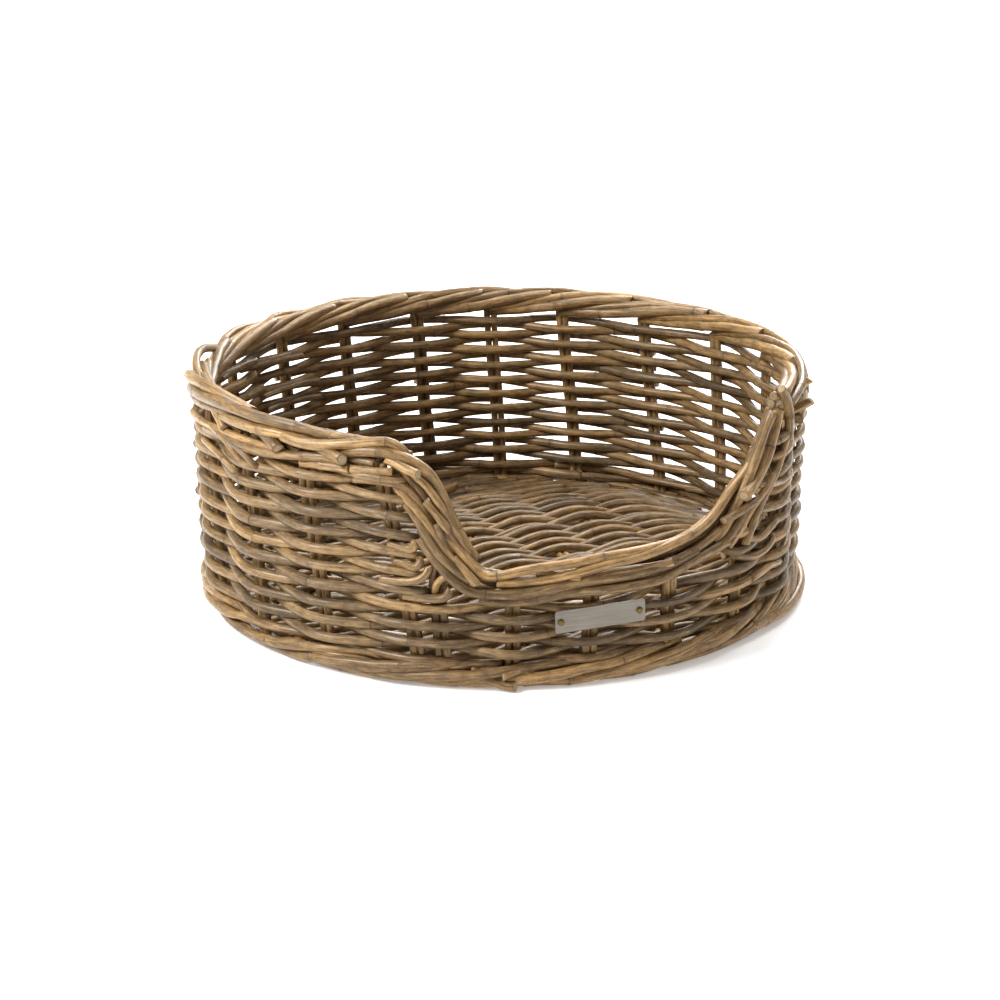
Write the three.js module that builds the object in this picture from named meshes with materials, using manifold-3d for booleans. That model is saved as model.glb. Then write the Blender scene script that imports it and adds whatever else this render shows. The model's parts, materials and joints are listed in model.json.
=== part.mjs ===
// Wicker pet bed basket: a low, nearly round basket of rattan rods with a dip
// in the front wall for the animal to step through. Millimetres, +Z up.
// X is the long axis, the entry faces -Y, and the origin is at the centre of
// the footprint, on the floor.
import * as THREE from 'three';
import * as BufferGeometryUtils from 'three/addons/utils/BufferGeometryUtils.js';
import Module from 'manifold-3d';

// ---------------------------------------------------------------- dimensions
const HEIGHT = 190.3;             // floor to the top of the rim
const TOP_OUT = [256, 247];       // rim, outer half-lengths along X and Y
const FOOT_OUT = [253, 249];      // foot border, outer half-lengths
const BORDER_W = 11;              // borders, half-thickness through the wall
const BORDER_H = 12;              // borders, half-height
const RIM_Z = HEIGHT - BORDER_H;  // centre of the rim border
const FOOT_Z = BORDER_H;          // centre of the foot border

const ROWS = 20;                  // rows of weaving between the borders
const ROW_PITCH = 7.06;
const ROW_Z0 = 24.4;              // underside of the lowest row
const ROD = 3.36;                 // weaving rod, half-thickness
const STAKE_HALF_W = 6.8;         // a pair of rods side by side
const STAKE_HALF_D = 3.4;
const WEAVE = STAKE_HALF_D + 0.45 + ROD;  // row centre to wall centre, at a stake
const FLAT = 9;                   // a row lies straight for this far each side of a stake
const GAP = 0.35;                 // between solids that touch
const CENTRE_Y = 2.1292;          // from the wall's centre to the middle of the footprint

// stakes: angle at the rim and angle at the foot, degrees from +X
const STAKES = [
  [-3.5, -8], [15.2, 10.5], [35, 29], [54, 49.5], [69.5, 67], [86, 83],
  [103.5, 100.5], [120.5, 117.5], [139, 136], [158, 157], [176.5, 178.5],
  [194.5, 197.5], [210.5, 214.5], [226, 232.5], [249, 249.5], [263.8, 263.4],
  [279.6, 279.2], [295.5, 296.5], [311, 312], [332.5, 333],
];

// centre line of the entry border on the wall: angle, height
const ENTRY = [
  [229, 175.5], [234.3, 146], [237.5, 125], [240.3, 105], [244.5, 86.5],
  [251, 80.5], [260, 81], [270, 84], [280, 87.5], [287, 92], [292.5, 102],
  [297, 115], [301.5, 133], [306, 153], [311, 173],
];

const BASE_STICK_R = 3.7;
const BASE_STICK_Z = 8.2;
const BASE_STICKS = [-168, -112, -56, 0, 56, 112, 168];
const MAT_Z = [12.3, 20.3];

const PLATE = { w: 71, h: 17.5, t: 1, r: 2, theta: 264.3, row: 5, tilt: 2.0 };
const NAIL = { x: 31, shank: 0.9, head: 2.6, hole: 1.25, length: 17 };

// ------------------------------------------------------------------- helpers
const wasm = await Module();
wasm.setup();
const rad = THREE.MathUtils.degToRad;
const UP = new THREE.Vector3(0, 0, 1);

function toSolid(geometry) {
  const g = geometry.index ? geometry.toNonIndexed() : geometry.clone();
  g.deleteAttribute('normal');
  if (g.attributes.uv) g.deleteAttribute('uv');
  const m = BufferGeometryUtils.mergeVertices(g, 1e-4);
  return new wasm.Manifold(new wasm.Mesh({
    numProp: 3,
    vertProperties: new Float32Array(m.attributes.position.array),
    triVerts: new Uint32Array(m.index.array),
  }));
}
function toGeometry(solid) {
  const mesh = solid.getMesh();
  const g = new THREE.BufferGeometry();
  const p = new Float32Array((mesh.vertProperties.length / mesh.numProp) * 3);
  for (let i = 0; i < p.length / 3; i++) {
    for (let k = 0; k < 3; k++) p[3 * i + k] = mesh.vertProperties[i * mesh.numProp + k];
  }
  g.setAttribute('position', new THREE.BufferAttribute(p, 3));
  g.setIndex(new THREE.BufferAttribute(new Uint32Array(mesh.triVerts), 1));
  g.computeVertexNormals();
  return g;
}

// half-lengths of the wall's middle surface at a height
function wallAxes(z) {
  const k = (z - FOOT_Z) / (RIM_Z - FOOT_Z);
  return [
    THREE.MathUtils.lerp(FOOT_OUT[0] - BORDER_W, TOP_OUT[0] - BORDER_W, k),
    THREE.MathUtils.lerp(FOOT_OUT[1] - BORDER_W, TOP_OUT[1] - BORDER_W, k),
  ];
}
function outward(theta, z) {
  const [a, b] = wallAxes(z);
  return new THREE.Vector3(Math.cos(theta) / a, Math.sin(theta) / b, 0).normalize();
}
function wallPoint(theta, z, offset = 0) {
  const [a, b] = wallAxes(z);
  return new THREE.Vector3(a * Math.cos(theta), b * Math.sin(theta), z)
    .addScaledVector(outward(theta, z), offset);
}

// a path of given points whose section keeps its first axis facing out of the wall
class WallPath extends THREE.Curve {
  constructor(points, normals) {
    super();
    this.points = points;
    this.outs = normals;
  }
  get steps() { return this.points.length - 1; }
  getPoint(t) {
    const f = t * this.steps;
    const i = Math.min(Math.floor(f), this.steps - 1);
    return this.points[i].clone().lerp(this.points[i + 1], f - i);
  }
  getSpacedPoints() { return this.points.map((p) => p.clone()); }
  computeFrenetFrames() {
    const tangents = [], normals = [], binormals = [];
    this.points.forEach((p, i) => {
      const a = this.points[Math.max(i - 1, 0)];
      const b = this.points[Math.min(i + 1, this.steps)];
      const t = new THREE.Vector3();
      if (i > 0) t.add(p.clone().sub(a).normalize());
      if (i < this.steps) t.add(b.clone().sub(p).normalize());
      t.normalize();
      const n = this.outs[i].clone().addScaledVector(t, -this.outs[i].dot(t)).normalize();
      tangents.push(t);
      normals.push(n);
      binormals.push(new THREE.Vector3().crossVectors(t, n).normalize());
    });
    return { tangents, normals, binormals };
  }
}
function sweep(points, normals, shape) {
  const path = new WallPath(points, normals);
  return new THREE.ExtrudeGeometry(shape, { steps: path.steps, extrudePath: path, curveSegments: 1 });
}
function polygon(points) {
  return new THREE.Shape(points.map(([x, y]) => new THREE.Vector2(x, y)));
}
function octagon(w, h) {
  const k = Math.tan(Math.PI / 8);
  return polygon([[w, -h * k], [w, h * k], [w * k, h], [-w * k, h], [-w, h * k], [-w, -h * k], [-w * k, -h], [w * k, -h]]);
}

// the entry border's centre line on the unrolled wall, as angle and height
const SPLIT = [-46, 226.2];       // where the rim border ends and the entry border starts
const entryLine = (() => {
  const knots = [[SPLIT[1], RIM_Z], ...ENTRY, [360 + SPLIT[0], RIM_Z]];
  const curve = new THREE.CatmullRomCurve3(
    knots.map(([d, z]) => new THREE.Vector3(rad(d) * 242, 0, z)), false, 'centripetal');
  curve.arcLengthDivisions = 600;
  const line = curve.getSpacedPoints(44).map((p) => [p.x / 242, p.z]);
  // both ends run level for a moment, so that they meet the rim squarely
  line.splice(0, 1, line[0], [line[0][0] + 5 / 242, RIM_Z]);
  line.splice(-1, 1, [line[line.length - 1][0] - 5 / 242, RIM_Z], line[line.length - 1]);
  return line;
})();
// distance on the unrolled wall from a point to the centre line of the borders above it
function clearance(theta, z) {
  const two = 2 * Math.PI;
  let t = theta;
  while (t < rad(180 + SPLIT[0]) - Math.PI) t += two;
  while (t >= rad(180 + SPLIT[0]) + Math.PI) t -= two;
  let best = t <= rad(SPLIT[1] + 1) || t >= rad(359 + SPLIT[0]) ? Math.abs(RIM_Z - z) : 1e9;
  for (const shift of [0, two]) {
    for (let i = 0; i + 1 < entryLine.length; i++) {
      const [ax, az] = [entryLine[i][0] * 242, entryLine[i][1]];
      const [bx, bz] = [entryLine[i + 1][0] * 242, entryLine[i + 1][1]];
      const px = (t + shift) * 242;
      const k = THREE.MathUtils.clamp(((px - ax) * (bx - ax) + (z - az) * (bz - az)) / ((bx - ax) ** 2 + (bz - az) ** 2), 0, 1);
      best = Math.min(best, Math.hypot(px - ax - k * (bx - ax), z - az - k * (bz - az)));
    }
  }
  return best;
}

// --------------------------------------------------------------------- scene
const basket = new THREE.Group();
const rattan = [0xa08058, 0x8a7350, 0x96805f, 0x7f6c4e, 0xa98a62];
function add(name, geometry, color, roughness = 0.55, metalness = 0) {
  const mesh = new THREE.Mesh(geometry, new THREE.MeshStandardMaterial({ color, roughness, metalness }));
  mesh.name = name;
  basket.add(mesh);
  return mesh;
}
const pad = (n) => String(n).padStart(2, '0');

// foot border: a ring with a flat underside
{
  const k = Math.tan(Math.PI / 8);
  const R = 240;
  const profile = [[BORDER_W, -BORDER_H * k], [BORDER_W, BORDER_H * k], [BORDER_W * k, BORDER_H],
    [-BORDER_W * k, BORDER_H], [-BORDER_W, BORDER_H * k], [-BORDER_W, -BORDER_H * k],
    [-BORDER_W * k, -BORDER_H], [BORDER_W * k, -BORDER_H], [BORDER_W, -BORDER_H * k]]
    .map(([x, y]) => new THREE.Vector2(R + x, y));
  const g = new THREE.LatheGeometry(profile, 72);
  g.rotateX(Math.PI / 2);
  g.deleteAttribute('normal');
  g.deleteAttribute('uv');
  const merged = BufferGeometryUtils.mergeVertices(g, 1e-4);
  // the ring takes the wall's oval plan and keeps its thickness
  const p = merged.attributes.position;
  for (let i = 0; i < p.count; i++) {
    const t = Math.atan2(p.getY(i), p.getX(i));
    const off = Math.hypot(p.getX(i), p.getY(i)) - R;
    const q = wallPoint(t, FOOT_Z, off);
    p.setXYZ(i, q.x, q.y, p.getZ(i) + BORDER_H);
  }
  merged.computeVertexNormals();
  let solid = new wasm.Manifold(new wasm.Mesh({
    numProp: 3,
    vertProperties: new Float32Array(p.array),
    triVerts: new Uint32Array(merged.index.array),
  }));
  if (solid.volume() < 0) {
    const idx = Array.from(merged.index.array);
    for (let i = 0; i < idx.length; i += 3) [idx[i], idx[i + 1]] = [idx[i + 1], idx[i]];
    solid = new wasm.Manifold(new wasm.Mesh({
      numProp: 3,
      vertProperties: new Float32Array(p.array),
      triVerts: new Uint32Array(idx),
    }));
  }
  add('foot_border', toGeometry(solid), rattan[1]);
}

// rim border and entry border: two lengths of one loop, end to end
{
  const rimAngles = [];
  for (let d = -45; d <= 225; d += 5) rimAngles.push(d);
  const rimEnd = 0.1;
  const rim = [SPLIT[0] + rimEnd, ...rimAngles, SPLIT[1] - rimEnd];
  add('rim_border', sweep(
    rim.map((d) => wallPoint(rad(d), RIM_Z)),
    rim.map((d) => outward(rad(d), RIM_Z)),
    octagon(BORDER_W, BORDER_H)), rattan[0]);

  add('entry_border', sweep(
    entryLine.map(([t, z]) => wallPoint(t, z)),
    entryLine.map(([t, z]) => outward(t, z)),
    octagon(BORDER_W, BORDER_H)), rattan[4]);
}

// stakes, each a pair of rods side by side, from the foot border up to the border above
const stakeAngle = (i, z) => rad(THREE.MathUtils.lerp(STAKES[i][1], STAKES[i][0], (z - 24) / (RIM_Z - 24)));
STAKES.forEach((_, i) => {
  const z0 = 2 * BORDER_H + GAP;
  let z1 = z0 + 10;
  const ok = (z) => [-1, 1].every((s) => clearance(stakeAngle(i, z) + s * STAKE_HALF_W / 242, z) > BORDER_H + 0.9);
  while (z1 < RIM_Z - BORDER_H - GAP && ok(z1 + 0.25)) z1 += 0.25;
  const w = STAKE_HALF_W, d = STAKE_HALF_D, c = 2.0;
  const section = polygon([[d, -w + c], [d, w - c], [d - c, w], [-d + c, w], [-d, w - c], [-d, -w + c], [-d + c, -w], [d - c, -w]]);
  const t0 = stakeAngle(i, z0), t1 = stakeAngle(i, z1);
  const mid = (t0 + t1) / 2;
  const out = outward(mid, (z0 + z1) / 2);
  const across = new THREE.Vector3().crossVectors(UP, out).normalize();
  // level ends: the same section at the foot and at the top
  const ring = (t, z) => {
    const p = wallPoint(t, z);
    return section.getPoints().slice(0, 8).map((v) => p.clone().addScaledVector(out, v.x).addScaledVector(across, v.y));
  };
  const pts = [...ring(t0, z0), ...ring(t1, z1)];
  const tri = [];
  for (let k = 0; k < 8; k++) {
    const n = (k + 1) % 8;
    tri.push(k, n, 8 + n, k, 8 + n, 8 + k);
  }
  for (let k = 1; k < 7; k++) {
    tri.push(0, k + 1, k);
    tri.push(8, 8 + k, 8 + k + 1);
  }
  const g = new THREE.BufferGeometry().setFromPoints(pts);
  g.setIndex(tri);
  g.computeVertexNormals();
  add(`stake_pair_${pad(i + 1)}`, g, rattan[3]);
});

// weaving rows
const plateRow = PLATE.row;
const rowZ = (r) => ROW_Z0 + ROW_PITCH * (r - 0.5);
const square = polygon([[ROD, -ROD + 0.02], [ROD, ROD - 0.02], [-ROD, ROD - 0.02], [-ROD, -ROD + 0.02]]);
function nailFrame() {
  const z = rowZ(plateRow);
  const t = rad(PLATE.theta);
  const out = outward(t, z);
  const right = new THREE.Vector3().crossVectors(UP, out).normalize();
  const tilt = rad(PLATE.tilt);
  const x = right.clone().multiplyScalar(Math.cos(tilt)).addScaledVector(UP, Math.sin(tilt));
  const y = new THREE.Vector3().crossVectors(out, x).normalize();
  const origin = wallPoint(t, z, WEAVE + ROD + 0.7);
  return new THREE.Matrix4().makeBasis(x, y, out).setPosition(origin);
}
for (let r = 1; r <= ROWS; r++) {
  const z = rowZ(r);
  const full = r <= 6;
  // flats at the stakes, in order round the wall
  const nodes = [];
  STAKES.forEach((_, i) => {
    const t = stakeAngle(i, z);
    const side = (i + r) % 2 ? 1 : -1;
    nodes.push({ t: t - FLAT / 242, s: side, stake: i }, { t: t + FLAT / 242, s: side, stake: i });
  });
  nodes.sort((p, q) => p.t - q.t);
  let pts;
  if (full) {
    // a whole turn that starts and ends behind the last stake
    const last = nodes.pop();
    const t0 = (last.t - FLAT / 242) - 2 * Math.PI;
    pts = [{ t: t0 + 0.4 / 242, s: last.s }, { t: last.t - 2 * Math.PI, s: last.s }, ...nodes, { t: t0 + 2 * Math.PI - 0.4 / 242, s: last.s }];
  } else {
    // from the right-hand side of the entry round the back to its left-hand side
    const free = (t) => [-1, 0, 1].every((k) => clearance(t, z + k * ROD) > BORDER_H + 0.75);
    let lo = rad(-12), hi = rad(200);
    const step = 0.5 / 242;
    while (free(lo - step)) lo -= step;
    while (free(hi + step)) hi += step;
    const all = [];
    for (const n of nodes) {
      all.push(n);
      all.push({ ...n, t: n.t - 2 * Math.PI });
    }
    all.sort((p, q) => p.t - q.t);
    const inside = all.filter((n) => n.t > lo + 2 / 242 && n.t < hi - 2 / 242);
    const value = (t) => {
      for (let i = 0; i + 1 < all.length; i++) {
        if (all[i].t <= t && t <= all[i + 1].t) {
          return THREE.MathUtils.mapLinear(t, all[i].t, all[i + 1].t, all[i].s, all[i + 1].s);
        }
      }
      return 0;
    };
    pts = [{ t: lo, s: value(lo) }, ...inside, { t: hi, s: value(hi) }];
  }
  let g = sweep(pts.map((p) => wallPoint(p.t, z, p.s * WEAVE)), pts.map((p) => outward(p.t, z)), square);
  if (r === plateRow) {
    // pilot holes for the two nails
    let solid = toSolid(g);
    const frame = nailFrame();
    for (const sx of [-1, 1]) {
      const hole = new THREE.CylinderGeometry(NAIL.hole, NAIL.hole, 60, 8);
      hole.rotateX(Math.PI / 2);
      hole.translate(sx * NAIL.x, 0, 0);
      hole.applyMatrix4(frame);
      solid = solid.subtract(toSolid(hole));
    }
    g = toGeometry(solid);
  }
  add(`weaver_row_${pad(r)}`, g, rattan[r % 5]);
}

// base: cross sticks under a woven mat
{
  const inner = [FOOT_OUT[0] - 2 * BORDER_W - 0.9, FOOT_OUT[1] - 2 * BORDER_W - 0.9];
  BASE_STICKS.forEach((x, i) => {
    const half = inner[1] * Math.sqrt(1 - ((Math.abs(x) + BASE_STICK_R) / inner[0]) ** 2);
    const g = new THREE.CylinderGeometry(BASE_STICK_R, BASE_STICK_R, 2 * half, 8);
    g.translate(x, 0, BASE_STICK_Z);
    add(`base_stick_${pad(i + 1)}`, g, rattan[3]);
  });
  const outline = new THREE.Shape();
  for (let i = 0; i < 72; i++) {
    const t = (i / 72) * 2 * Math.PI;
    const p = [inner[0] * Math.cos(t), inner[1] * Math.sin(t)];
    if (i) outline.lineTo(...p); else outline.moveTo(...p);
  }
  const g = new THREE.ExtrudeGeometry(outline, { depth: MAT_Z[1] - MAT_Z[0], bevelEnabled: false, curveSegments: 1 });
  g.translate(0, 0, MAT_Z[0]);
  add('base_mat', g, rattan[1]);
}

// plate and its nails
{
  const frame = nailFrame();
  const { w, h, t, r } = PLATE;
  const s = new THREE.Shape();
  s.moveTo(-w / 2 + r, -h / 2);
  s.lineTo(w / 2 - r, -h / 2);
  s.absarc(w / 2 - r, -h / 2 + r, r, -Math.PI / 2, 0, false);
  s.absarc(w / 2 - r, h / 2 - r, r, 0, Math.PI / 2, false);
  s.absarc(-w / 2 + r, h / 2 - r, r, Math.PI / 2, Math.PI, false);
  s.absarc(-w / 2 + r, -h / 2 + r, r, Math.PI, 1.5 * Math.PI, false);
  for (const sx of [-1, 1]) {
    const hole = new THREE.Path();
    hole.absarc(sx * NAIL.x, 0, NAIL.hole, 0, 2 * Math.PI, true);
    s.holes.push(hole);
  }
  const g = new THREE.ExtrudeGeometry(s, { depth: t, bevelEnabled: false, curveSegments: 4 });
  g.applyMatrix4(frame);
  add('name_plate', g, 0xb9b7b0, 0.35, 0.9);
  [['nail_left', -1], ['nail_right', 1]].forEach(([name, sx]) => {
    const top = t + GAP;
    const profile = [[0, top - NAIL.length], [NAIL.shank, top - NAIL.length + 1], [NAIL.shank, top],
      [NAIL.head, top], [NAIL.head, top + 0.4], [NAIL.head * 0.7, top + 1.1], [0, top + 1.4]]
      .map(([x, y]) => new THREE.Vector2(x, y));
    const n = new THREE.LatheGeometry(profile, 10);
    n.rotateX(Math.PI / 2);
    n.translate(sx * NAIL.x, 0, 0);
    n.applyMatrix4(frame);
    add(name, n, 0xa08a55, 0.4, 0.9);
  });
}

// the plate stands proud of the front, so the origin moves to the middle of the footprint
basket.position.y = CENTRE_Y;

export default basket;
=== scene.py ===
"""Low oval wicker bed basket: every rod of the weave as its own swept, tapered and noded tube.

Lengths are worked out in millimetres in the row frame and written in metres.
"""

import bpy
import json
import math
import numpy as np
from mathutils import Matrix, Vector

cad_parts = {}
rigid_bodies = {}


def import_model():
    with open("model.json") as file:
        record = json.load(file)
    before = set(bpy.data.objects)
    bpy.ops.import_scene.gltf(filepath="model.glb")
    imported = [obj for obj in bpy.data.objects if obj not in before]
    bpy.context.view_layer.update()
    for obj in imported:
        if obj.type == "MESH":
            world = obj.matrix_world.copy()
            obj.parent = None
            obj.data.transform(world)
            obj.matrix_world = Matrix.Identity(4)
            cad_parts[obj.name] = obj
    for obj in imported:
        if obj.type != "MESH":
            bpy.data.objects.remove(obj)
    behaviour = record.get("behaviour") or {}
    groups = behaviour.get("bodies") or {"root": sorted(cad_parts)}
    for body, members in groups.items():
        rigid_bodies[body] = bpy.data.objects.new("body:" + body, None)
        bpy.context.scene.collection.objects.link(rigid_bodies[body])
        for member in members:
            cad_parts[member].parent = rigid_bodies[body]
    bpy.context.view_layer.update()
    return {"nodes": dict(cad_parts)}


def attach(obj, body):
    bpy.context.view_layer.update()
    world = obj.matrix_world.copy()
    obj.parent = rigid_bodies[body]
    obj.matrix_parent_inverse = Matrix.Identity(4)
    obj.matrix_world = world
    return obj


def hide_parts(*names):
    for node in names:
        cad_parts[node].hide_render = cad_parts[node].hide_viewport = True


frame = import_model()

MM = 0.001
CY = 2.1292  # the wall's centre sits this far along +Y
rng = np.random.default_rng(20)

# --------------------------------------------------------------------------
# the wall's geometry, the same numbers as the CAD model
# --------------------------------------------------------------------------
STAKES = np.array([
    [-3.5, -8], [15.2, 10.5], [35, 29], [54, 49.5], [69.5, 67], [86, 83], [103.5, 100.5],
    [120.5, 117.5], [139, 136], [158, 157], [176.5, 178.5], [194.5, 197.5], [210.5, 214.5],
    [226, 232.5], [249, 249.5], [263.8, 263.4], [279.6, 279.2], [295.5, 296.5], [311, 312],
    [332.5, 333]])
ENTRY = np.array([
    [229, 175.5], [234.3, 146], [237.5, 125], [240.3, 105], [244.5, 86.5], [251, 80.5],
    [260, 81], [270, 84], [280, 87.5], [287, 92], [292.5, 102], [297, 115], [301.5, 133],
    [306, 153], [311, 173]])
ROWS, PITCH, Z0 = 20, 7.06, 24.4
RIM_Z, FOOT_Z = 178.3, 12.0
ARC = 242.0


def wall(th, z, off=0.0):
    """A point of the wall: angle in degrees, height, and distance outward of its middle surface."""
    th, z, off = np.broadcast_arrays(np.radians(np.asarray(th, float)), np.asarray(z, float), np.asarray(off, float))
    k = (z - FOOT_Z) / (RIM_Z - FOOT_Z)
    a, b = 242 + 3 * k, 238 - 2 * k
    c, s = np.cos(th), np.sin(th)
    nx, ny = c / a, s / b
    n = np.hypot(nx, ny)
    return np.stack([a * c + nx / n * off, b * s + ny / n * off + CY, z], -1)


def outward(th):
    t = np.radians(np.asarray(th, float))
    n = np.stack([np.cos(t) / 243.5, np.sin(t) / 237.0, np.zeros_like(t)], -1)
    return n / np.linalg.norm(n, axis=-1, keepdims=True)


def stake_angle(i, z):
    """Angle of stake i (any integer: past the last one they repeat, a full turn on)."""
    turn, j = divmod(int(i), 20)
    k = (z - Z0) / (RIM_Z - Z0)
    return STAKES[j, 1] + (STAKES[j, 0] - STAKES[j, 1]) * k + 360.0 * turn


def side(i, r):
    return 1.0 if (int(i) % 20 + r) % 2 else -1.0


# --------------------------------------------------------------------------
# rods: smooth paths and swept tubes
# --------------------------------------------------------------------------
def resample(P, step):
    P = np.asarray(P, float)
    d = np.r_[0, np.cumsum(np.linalg.norm(np.diff(P, axis=0), axis=1))]
    n = max(2, int(round(d[-1] / step)) + 1)
    s = np.linspace(0, d[-1], n)
    return np.stack([np.interp(s, d, P[:, k]) for k in range(P.shape[1])], -1)


def blur(P, sigma):
    """Gaussian smoothing along a path whose samples are 1 apart; the ends stay put."""
    h = int(math.ceil(3 * sigma))
    k = np.exp(-0.5 * (np.arange(-h, h + 1) / sigma) ** 2)
    k /= k.sum()
    A = np.concatenate([2 * P[0] - P[h:0:-1], P, 2 * P[-1] - P[-2:-h - 2:-1]]) if len(P) > h + 1 else P
    if A is P:
        return P
    return np.stack([np.convolve(A[:, c], k, "valid") for c in range(P.shape[1])], -1)


def wander(n, step, scale, amp, r):
    """Smooth random values along a path."""
    m = max(4, int(n * step / scale) + 4)
    x = np.linspace(0, m - 1, n)
    v = r.normal(0, amp, m)
    i = np.clip(x.astype(int), 0, m - 2)
    t = x - i
    t = t * t * (3 - 2 * t)
    return v[i] * (1 - t) + v[i + 1] * t


class Bundle:
    """Collects rods into one mesh."""

    def __init__(self):
        self.v, self.f, self.cut, self.co, self.rnd, self.nd = [], [], [], [], [], []
        self.n = 0

    def rod(self, P, r0, r1, seed, sides=12, step=2.6, slant=(0.0, 0.0), nodes=105.0, lump=1.0, tone=None, rpro=None):
        """P: path in mm, any spacing. r0, r1: radius at its two ends. slant: tangent of each end's cut."""
        r = np.random.default_rng(seed)
        P = resample(P, 1.0)
        L = len(P) - 1.0
        # samples: even steps, with one exactly on each node and a close pair at either end
        node_s, s = [], r.uniform(0.15, 0.8) * nodes
        while s < L - 9:
            if s > 9:
                node_s.append(s)
            s += nodes * r.uniform(0.7, 1.35)
        ring = np.linspace(4.0, L - 4.0, max(2, int((L - 8.0) / step) + 1)) if L > 10 else np.array([L * 0.35, L * 0.65])
        for q in node_s:
            ring = ring[np.abs(ring - q) > 2.0]
        extra = [q + d for q in node_s for d in (-1.6, -0.8, 0.0, 0.8, 1.6)]
        ring = np.sort(np.r_[ring, extra])
        s_all = np.r_[0.0, 0.35, ring, L - 0.35, L]
        Q = np.stack([np.interp(s_all, np.arange(len(P)), P[:, k]) for k in range(3)], -1)
        m = len(s_all)
        T = np.gradient(Q, s_all, axis=0)
        T /= np.linalg.norm(T, axis=1, keepdims=True)
        T[0] = T[1] = T[2]
        T[-1] = T[-2] = T[-3]
        # rotation-minimising frame
        ref = np.array([0.0, 0, 1]) if abs(T[0][2]) < 0.8 else np.array([1.0, 0, 0])
        u = ref - T[0] * ref.dot(T[0])
        u /= np.linalg.norm(u)
        U = np.empty_like(Q)
        U[0] = u
        for i in range(m - 1):
            v1 = Q[i + 1] - Q[i]
            c1 = v1.dot(v1)
            uL = U[i] - (2 / c1) * v1.dot(U[i]) * v1
            tL = T[i] - (2 / c1) * v1.dot(T[i]) * v1
            v2 = T[i + 1] - tL
            c2 = v2.dot(v2)
            w = uL - (2 / c2) * v2.dot(uL) * v2 if c2 > 1e-12 else uL
            w = w - T[i + 1] * w.dot(T[i + 1])
            U[i + 1] = w / np.linalg.norm(w)
        V = np.cross(T, U)
        # radius
        k = s_all / L
        R = r0 + (r1 - r0) * k
        if rpro is not None:
            R = R * np.interp(k, rpro[0], rpro[1])
        R = R * (1 + wander(m, step, 38, 0.022, r) * lump)
        nd = np.full(m, 60.0)
        for q in node_s:
            dd = s_all - q
            R = R + 0.24 * lump * np.exp(-(dd / 1.5) ** 2) - 0.10 * lump * np.exp(-((dd - 3.6) / 1.6) ** 2)
            nd = np.where(np.abs(dd) < np.abs(nd), dd, nd)
            # each node's ring is faint or strong
        nd = np.clip(nd, -60, 60)
        R_in = R.copy()
        R_in[0] -= 0.35
        R_in[-1] -= 0.35
        a = np.arange(sides) * (2 * math.pi / sides)
        # out of round, slowly changing along the rod
        o1, o2 = wander(m, step, 55, 0.035, r) * lump, wander(m, step, 55, 0.035, r) * lump
        o3 = wander(m, step, 20, 0.012, r) * lump
        shape = 1 + o1[:, None] * np.cos(2 * a) + o2[:, None] * np.sin(2 * a) + o3[:, None] * np.cos(3 * a + 1)
        X = R_in[:, None] * shape * np.cos(a)
        Y = R_in[:, None] * shape * np.sin(a)
        pts = Q[:, None, :] + X[..., None] * U[:, None, :] + Y[..., None] * V[:, None, :]
        for e, rows_ in ((0, (0, 1)), (1, (m - 1, m - 2))):
            if slant[e]:
                q = a0 = r.uniform(0, 2 * math.pi) if slant[e] > 0 else math.pi / 2
                sl = abs(slant[e])
                for j in rows_:
                    pts[j] += (sl * (X[j] * math.cos(a0) + Y[j] * math.sin(a0)))[:, None] * T[j]
        off = r.uniform(0, 4000)
        tone_v = r.uniform(0, 1, 3) if tone is None else np.array([tone[0], r.uniform(0, 1), tone[1]])
        base = self.n
        nv = m * sides
        self.v.append(pts.reshape(-1, 3))
        self.v.append(Q[:1] * 1.0)
        self.v.append(Q[-1:] * 1.0)
        co = np.stack([X, Y, np.repeat((s_all + off)[:, None], sides, 1)], -1).reshape(-1, 3)
        self.co += [co, np.array([[0, 0, off]]), np.array([[0, 0, off + L]])]
        self.rnd.append(np.repeat(tone_v[None], nv + 2, 0))
        self.nd += [np.repeat(nd, sides), nd[:1], nd[-1:]]
        i = np.arange(m - 1)[:, None] * sides
        j = np.arange(sides)[None]
        j2 = (j + 1) % sides
        quads = np.stack([i + j, i + j2, i + sides + j2, i + sides + j], -1).reshape(-1, 4) + base
        self.f.append(("q", quads))
        c0, c1 = base + nv, base + nv + 1
        jj = np.arange(sides)
        t0 = np.stack([np.full(sides, c0), base + (jj + 1) % sides, base + jj], -1)
        l0 = base + (m - 1) * sides
        t1 = np.stack([np.full(sides, c1), l0 + jj, l0 + (jj + 1) % sides], -1)
        self.f.append(("t", np.concatenate([t0, t1])))
        self.n += nv + 2

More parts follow.
